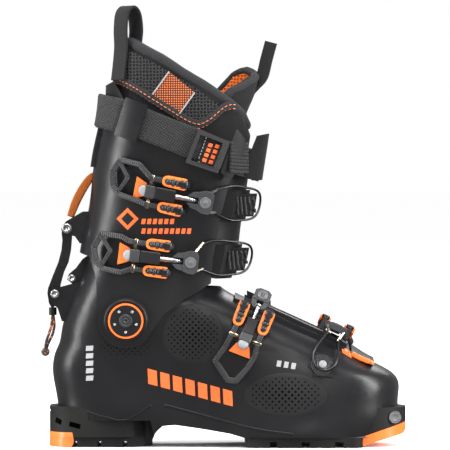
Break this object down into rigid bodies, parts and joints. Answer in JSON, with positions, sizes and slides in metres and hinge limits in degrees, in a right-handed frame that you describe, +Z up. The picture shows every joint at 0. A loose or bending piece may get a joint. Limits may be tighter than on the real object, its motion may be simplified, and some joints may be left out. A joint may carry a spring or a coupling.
{
  "type": "ski touring boot",
  "caption": "Alpine ski touring boot for the right foot: overlap shell, hinged buckled cuff with ski and walk lock, power strap, padded liner and lugged sole.",
  "frame": {"origin": "centre of the boot's bounding box in plan, at the underside of the tread lugs", "axes": "+X along the foot toward the toe, +Z up, -Y toward the outer (buckle) side of this right boot"},
  "size_m": [0.3045, 0.1307, 0.3665],
  "materials": {
    "shell_black": "satin moulded polyurethane",
    "flap_black": "satin",
    "rubber_black": "matt moulded rubber",
    "orange_plastic": "gloss orange",
    "lever_black": "ribbed satin, orange clips",
    "latch_grey": "dark barrel and yoke, steel threaded rod",
    "steel": "bright",
    "liner_fabric": "mesh and textile with orange stitching",
    "foam": "foam lining",
    "webbing": "woven webbing",
    "webbing_orange": "orange-brown webbing",
    "cord": "braided black cord with orange flecks",
    "cable_steel": "coated steel cable"
  },
  "bodies": {
    "shell": {"lower_shell": "shell_black", "instep_cover": "flap_black", "toe_trim": "flap_black", "toe_trim_accent": "orange_plastic", "toe_block": "rubber_black", "toe_inserts": "steel", "heel_block": "rubber_black", "heel_insert": "steel", "heel_tread": "rubber_black", "heel_accent": "orange_plastic", "forefoot_tread": "rubber_black", "toe_accent": "orange_plastic", "boot_board": "foam", "liner_foot": "liner_fabric", "pivot_bushes": "flap_black", "pivot_rings": "orange_plastic", "pivot_screws": "steel", "shell_bracket": "flap_black", "lock_pin": "steel", "spoiler_arm": "flap_black", "spoiler_screw": "steel", "instep_base": "shell_black", "instep_catch": "flap_black", "toe_base": "shell_black", "toe_catch": "flap_black"},
    "cuff": {"cuff_shell": "shell_black", "cuff_front_flap": "flap_black", "cuff_spoiler": "flap_black", "liner_collar": "liner_fabric", "liner_tongue": "liner_fabric", "pull_loop": "liner_fabric", "pull_tab": "liner_fabric", "power_strap": "webbing", "strap_keeper": "flap_black", "strap_buckle": "lever_black", "strap_hook": "flap_black", "strap_front_block": "flap_black", "cuff_bracket": "flap_black", "lever_pin": "steel", "bracket_spring": "steel", "lever_strap": "webbing_orange", "upper_base": "shell_black", "upper_catch": "flap_black", "lower_base": "shell_black", "lower_catch": "flap_black"},
    "lock_lever": {"lock_lever": "flap_black", "release_cord": "cord", "cord_bead": "flap_black", "cord_knot": "cord"},
    "upper_lever_body": {"upper_lever": "lever_black"},
    "upper_latch_body": {"upper_latch": "latch_grey", "upper_cable": "cable_steel"},
    "lower_lever_body": {"lower_lever": "lever_black"},
    "lower_latch_body": {"lower_latch": "latch_grey", "lower_cable": "cable_steel"},
    "instep_lever_body": {"instep_lever": "lever_black"},
    "instep_latch_body": {"instep_latch": "latch_grey"},
    "toe_lever_body": {"toe_lever": "lever_black"},
    "toe_latch_body": {"toe_latch": "latch_grey", "toe_cable": "cable_steel"}
  },
  "joints": [
    {"name": "cuff_lean", "type": "hinge", "parent": "shell", "child": "cuff", "pos_m": [-0.0842, -0.00056, 0.1053], "axis": [0, -1, 0], "range_deg": [0, 22]},
    {"name": "lock_lever_swing", "type": "hinge", "parent": "cuff", "child": "lock_lever", "pos_m": [-0.1343, -0.00056, 0.1809], "axis": [0, 1, 0], "range_deg": [0, 132]},
    {"name": "upper_lever_open", "type": "hinge", "parent": "cuff", "child": "upper_lever_body", "pos_m": [-0.03906, -0.06041, 0.20748], "axis": [0.1888, -0.1197, 0.9747], "range_deg": [0, 110]},
    {"name": "upper_latch_turn", "type": "hinge", "parent": "upper_lever_body", "child": "upper_latch_body", "pos_m": [-0.06386, -0.06126, 0.21218], "axis": [-0.1888, 0.1197, -0.9747], "range_deg": [0, 110]},
    {"name": "lower_lever_open", "type": "hinge", "parent": "cuff", "child": "lower_lever_body", "pos_m": [-0.05173, -0.05511, 0.15625], "axis": [0.1214, -0.0153, 0.9925], "range_deg": [0, 110]},
    {"name": "lower_latch_turn", "type": "hinge", "parent": "lower_lever_body", "child": "lower_latch_body", "pos_m": [-0.07673, -0.05715, 0.15928], "axis": [-0.1214, 0.0153, -0.9925], "range_deg": [0, 110]},
    {"name": "instep_lever_open", "type": "hinge", "parent": "shell", "child": "instep_lever_body", "pos_m": [0.02356, -0.04878, 0.11355], "axis": [-0.9313, 0.0341, 0.3627], "range_deg": [0, 110]},
    {"name": "instep_latch_turn", "type": "hinge", "parent": "instep_lever_body", "child": "instep_latch_body", "pos_m": [0.01444, -0.05436, 0.09067], "axis": [0.9313, -0.0341, -0.3627], "range_deg": [0, 110]},
    {"name": "toe_lever_open", "type": "hinge", "parent": "shell", "child": "toe_lever_body", "pos_m": [0.09115, 0.00553, 0.09942], "axis": [0.9178, -0.0299, -0.3958], "range_deg": [0, 100]},
    {"name": "toe_latch_turn", "type": "hinge", "parent": "toe_lever_body", "child": "toe_latch_body", "pos_m": [0.09031, 0.03048, 0.09559], "axis": [-0.9178, 0.0299, 0.3958], "range_deg": [0, 100]}
  ],
  "couplings": [
    {"joint": "lock_lever_swing", "follows": "cuff_lean", "ratio": 6},
    {"joint": "upper_latch_turn", "follows": "upper_lever_open", "ratio": 1},
    {"joint": "lower_latch_turn", "follows": "lower_lever_open", "ratio": 1},
    {"joint": "instep_latch_turn", "follows": "instep_lever_open", "ratio": 1},
    {"joint": "toe_latch_turn", "follows": "toe_lever_open", "ratio": 1}
  ]
}
